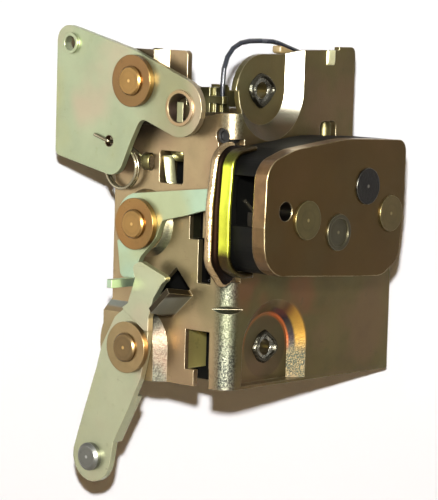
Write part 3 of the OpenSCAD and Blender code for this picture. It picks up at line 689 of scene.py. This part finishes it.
def edge_bead():
    """The short bead pressed forward at the right wing's top edge."""
    middle, half, steps = 44.7, 2.0, 12
    rows = []
    for z, scale in ((98.7, 0.1), (98.9, 0.5), (99.3, 0.8), (100.0, 1.0), (103.0, 1.0), (103.3, 0.9)):
        front = [(middle - half * math.cos(math.pi * k / steps),
                  0.04 - 1.0 * scale * math.sin(math.pi * k / steps) ** 0.8, z) for k in range(steps + 1)]
        rows.append(front + [(46.7, 0.3, z), (42.7, 0.3, z)])
    grown("edge_bead", rows, "bracket_body", [TAB_ZINC_LIT])


def tube(name, route, radius, body, finish, sides=12):
    """Round wire along a route of drawing points, its corners eased and its ends slightly tapered."""
    line = [Vector(p) for p in route]
    for _ in range(2):
        eased = [line[0]]
        for a, b in zip(line, line[1:]):
            eased += [a.lerp(b, 0.25), a.lerp(b, 0.75)]
        line = eased + [line[-1]]
    last = len(line) - 1
    rows = []
    across = (line[1] - line[0]).orthogonal().normalized()
    for i, here in enumerate(line):
        way = (line[min(i + 1, last)] - line[max(i - 1, 0)]).normalized()
        across = (across - way * across.dot(way)).normalized()
        other = way.cross(across)
        taper = 0.7 if i in (0, last) else 1.0
        rows.append([here + (across * c + other * s) * radius * taper for c, s in around(sides)])
    return grown(name, rows, body, [finish])


def toggle_spring():
    """Two turns beside the left wing, one leg hooked into it, the other out through the upper lever."""
    y0, z0, r, steps = 44.0, 65.4, 6.7, 61
    route = [(1.6, 34.6, 68.0), (0.2, 34.6, 68.0), (-0.6, 34.9, 68.1), (-0.85, 36.0, 68.7),
             (-0.85, 38.5, 70.1)]
    for k in range(steps + 1):
        angle = math.radians(118 - 730 * k / steps)
        route.append((-0.85 - 2.15 * k / steps, y0 + r * math.cos(angle), z0 + r * math.sin(angle)))
    route += [(-3.05, 44.2, 72.5), (-3.15, 45.6, 72.95), (-3.6, 46.2, 73.2), (-5.0, 46.4, 73.3),
              (-5.9, 46.6, 73.4), (-6.2, 47.6, 73.75), (-6.2, 50.0, 74.5), (-6.2, 52.4, 75.2)]
    obj = tube("toggle_spring_wound", route, 0.53, None, FINISH["bright_spring"])
    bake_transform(obj)
    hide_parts("toggle_spring")


def return_spring():
    """Black wire wound up behind the slot of the left wing, closed at both ends."""
    x0, y0, z0, high, r = 6.3, 10.3, 30.6, 20.5, 2.6
    turns, steps = 10, 240
    route = []
    for k in range(steps + 1):
        q = k / steps
        angle = 2 * math.pi * turns * q
        # the first and last turns lie nearly flat, the others rise evenly
        even = min(max((q - 0.08) / 0.84, 0.0), 1.0)
        z = z0 + 0.5 + 0.35 * q + (high - 1.35) * even
        route.append((x0 + r * math.cos(angle), y0 + r * math.sin(angle), z))
    obj = tube("return_spring_wound", route, 0.5, "bracket_body", FINISH["black_spring"],
               sides=10)
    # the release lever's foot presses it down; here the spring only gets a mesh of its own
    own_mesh(obj)
    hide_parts("return_spring")


def inner_arm():
    """The upper lever's inner arm, its tall rib cut down near the level of the arm's root."""
    me = NODES["lock_inner_arm"].data.copy()
    low, high, level = at(7.4, 11.4, 84), at(10.2, 16.6, 98), at(0, 0, 92.4).z
    for v in me.vertices:
        if low.x < v.co.x < high.x and low.y < v.co.y < high.y:
            v.co.z = min(v.co.z, level)
    obj = placed("inner_arm_ribbed", me)
    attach(obj, "lock_body")
    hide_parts("lock_inner_arm")


def clip():
    """The plastic clip under the wire's end, its edges eased."""
    outline = rounded([(27.9, 104.6, 0.5), (35.7, 102.5, 0.5), (34.3, 100.9, 0.6), (27.8, 102.3, 0.8)])
    middle = sum(outline, Vector((0, 0))) / len(outline)
    rows = []
    for y, size in ((6.3, 0.86), (6.4, 0.95), (6.7, 1.0), (9.3, 1.0), (9.6, 0.95), (9.7, 0.86)):
        rows.append([(middle.x + (q.x - middle.x) * size, y, middle.y + (q.y - middle.y) * size)
                     for q in outline])
    obj = grown("wire_clip_shaped", rows, "lock_body", [FINISH["beige_plastic"]])
    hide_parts("wire_clip")


collar()
screw_rim("upper_screw_rim", x=16.9, z=91.0, wide=6.1, tall=5.5, phase=0.4)
screw_rim("lower_screw_rim", x=21.9, z=11.5, wide=5.8, tall=5.3, phase=2.1)
window_tongue()
window_flap()
anchor_lug()
edge_bead()
toggle_spring()
return_spring()
inner_arm()
clip()


# Camera, floor and light

MIDDLE = at(10, 10, 50)
VIEW_AZIMUTH, VIEW_ELEVATION, VIEW_ROLL = -48.5, 6.0, 1.7
VIEW_PLACE = at(-563.17, -493.72, 121.90)
FLOOR_LEVEL = -0.11
BACKDROP_GAP = 0.066


def direction(azimuth, elevation):
    """From the object towards a viewer; azimuth 0 is in front of the right wing."""
    a, e = math.radians(azimuth), math.radians(elevation)
    return Vector((math.sin(a) * math.cos(e), -math.cos(a) * math.cos(e), math.sin(e)))


def level_right(azimuth):
    """The level direction to the right of such a viewer."""
    a = math.radians(azimuth)
    return Vector((math.cos(a), math.sin(a), 0.0))


def camera():
    """The photograph's view, slightly rolled."""
    roll = math.radians(VIEW_ROLL)
    back = direction(VIEW_AZIMUTH, VIEW_ELEVATION)
    right = level_right(VIEW_AZIMUTH)
    up = back.cross(right)
    rolled_right = right * math.cos(roll) + up * math.sin(roll)
    rolled_up = up * math.cos(roll) - right * math.sin(roll)
    data = bpy.data.cameras.new("camera")
    data.sensor_fit = "VERTICAL"
    data.sensor_height = 36.0
    data.lens = 180.0
    data.clip_start = 0.01
    data.clip_end = 50.0
    obj = placed("camera", data)
    turn = Matrix((rolled_right, rolled_up, back)).transposed().to_4x4()
    obj.matrix_world = Matrix.Translation(VIEW_PLACE) @ turn
    bpy.context.scene.camera = obj


def added(t, kind, **sockets):
    """A new node of a tree with some of its sockets set."""
    n = t.nodes.new(kind)
    for name, value in sockets.items():
        n.inputs[name].default_value = value
    return n


def seen_white(t, plain, white, out):
    """Shows white to the camera and in reflections, and the plain shader to everything else."""
    path = added(t, "ShaderNodeLightPath")
    shown = path.outputs["Is Camera Ray"]
    for name in ("Is Glossy Ray", "Is Transmission Ray"):
        larger = added(t, "ShaderNodeMath")
        larger.operation = "MAXIMUM"
        t.links.new(shown, larger.inputs[0])
        t.links.new(path.outputs[name], larger.inputs[1])
        shown = larger.outputs[0]
    mix = added(t, "ShaderNodeMixShader")
    for source, socket in zip((shown, plain, white), mix.inputs):
        t.links.new(source, socket)
    t.links.new(mix.outputs[0], out)


def bench_paper(name, corners, lift, bounce):
    """A staged sheet of white paper that keeps the shadow, with its tree and its plain and white shaders.

    lift is how much it glows where it is seen, and bounce how much light it throws back on the object.
    """
    mat = bpy.data.materials.new(name + "_paper")
    mat.use_nodes = True
    t = mat.node_tree
    paper = t.nodes["Principled BSDF"]
    paper.inputs["Base Color"].default_value = (0.95, 0.955, 0.98, 1)
    paper.inputs["Roughness"].default_value = 1.0
    paper.inputs["Specular IOR Level"].default_value = 0.0
    glow = added(t, "ShaderNodeEmission", Color=(1.0, 0.94, 0.84, 1), Strength=lift)
    white = added(t, "ShaderNodeAddShader")
    t.links.new(paper.outputs[0], white.inputs[0])
    t.links.new(glow.outputs[0], white.inputs[1])
    plain = added(t, "ShaderNodeBsdfDiffuse", Color=(bounce, bounce * 0.74, bounce * 0.44, 1))
    me = bpy.data.meshes.new(name)
    me.from_pydata(corners, [], [(0, 1, 2, 3)])
    me.materials.append(mat)
    obj = placed(name, me)
    return obj, t, plain.outputs[0], white.outputs[0]


def floor():
    """The bench under the object."""
    half = 6
    corners = [(x * half, y * half, FLOOR_LEVEL) for x, y in ((-1, -1), (1, -1), (1, 1), (-1, 1))]
    _, t, plain, white = bench_paper("floor", corners, lift=0.35, bounce=0.3)
    seen_white(t, plain, white, t.nodes["Material Output"].inputs[0])


def backdrop():
    """Paper close behind the object, as on the bench; it is clear from the back and throws no shadow."""
    away, side = -direction(VIEW_AZIMUTH, 0.0), level_right(VIEW_AZIMUTH)
    middle = at(0, 0, 50) + away * BACKDROP_GAP
    corners = [middle + side * x + Vector((0, 0, z))
               for x, z in ((-0.5, -0.3), (0.5, -0.3), (0.5, 0.5), (-0.5, 0.5))]
    obj, t, plain, white = bench_paper("backdrop", corners, lift=0.0, bounce=0.5)
    obj.visible_shadow = False
    clear = added(t, "ShaderNodeBsdfTransparent")
    facing = added(t, "ShaderNodeNewGeometry")
    mix = added(t, "ShaderNodeMixShader")
    t.links.new(facing.outputs["Backfacing"], mix.inputs[0])
    t.links.new(clear.outputs[0], mix.inputs[2])
    t.links.new(mix.outputs[0], t.nodes["Material Output"].inputs[0])
    seen_white(t, plain, white, mix.inputs[1])


def world():
    """A faint warm light from all round, seen as white."""
    w = bpy.data.worlds.new("studio")
    w.use_nodes = True
    bpy.context.scene.world = w
    t = w.node_tree
    light = t.nodes["Background"]
    light.inputs["Color"].default_value = (1.0, 0.68, 0.34, 1)
    light.inputs["Strength"].default_value = 0.068
    white = added(t, "ShaderNodeBackground", Color=(1, 1, 1, 1), Strength=1.0)
    seen_white(t, light.outputs[0], white.outputs[0], t.nodes["World Output"].inputs[0])


def lamp(name, azimuth, elevation, distance, size, power, shine_only=False):
    """An area light on the object's middle; with shine_only it is seen in reflections only, as a card is."""
    data = bpy.data.lights.new(name, "AREA")
    data.size = size
    data.energy = power
    obj = placed(name, data)
    obj.location = MIDDLE + direction(azimuth, elevation) * distance
    obj.rotation_euler = (MIDDLE - obj.location).to_track_quat("-Z", "Y").to_euler()
    obj.visible_diffuse = not shine_only


camera()
floor()
backdrop()
world()
lamp("key", -49.5, 12.2, 0.78, size=0.025, power=7.0)
lamp("key_shine", -49.5, 10.5, 0.78, size=0.12, power=38.0, shine_only=True)
lamp("left_card", -127, -2, 0.8, size=0.8, power=5.2, shine_only=True)
lamp("back_fill", 130, 50, 1.0, size=0.7, power=4.0)
bpy.context.scene.view_settings.view_transform = "Standard"
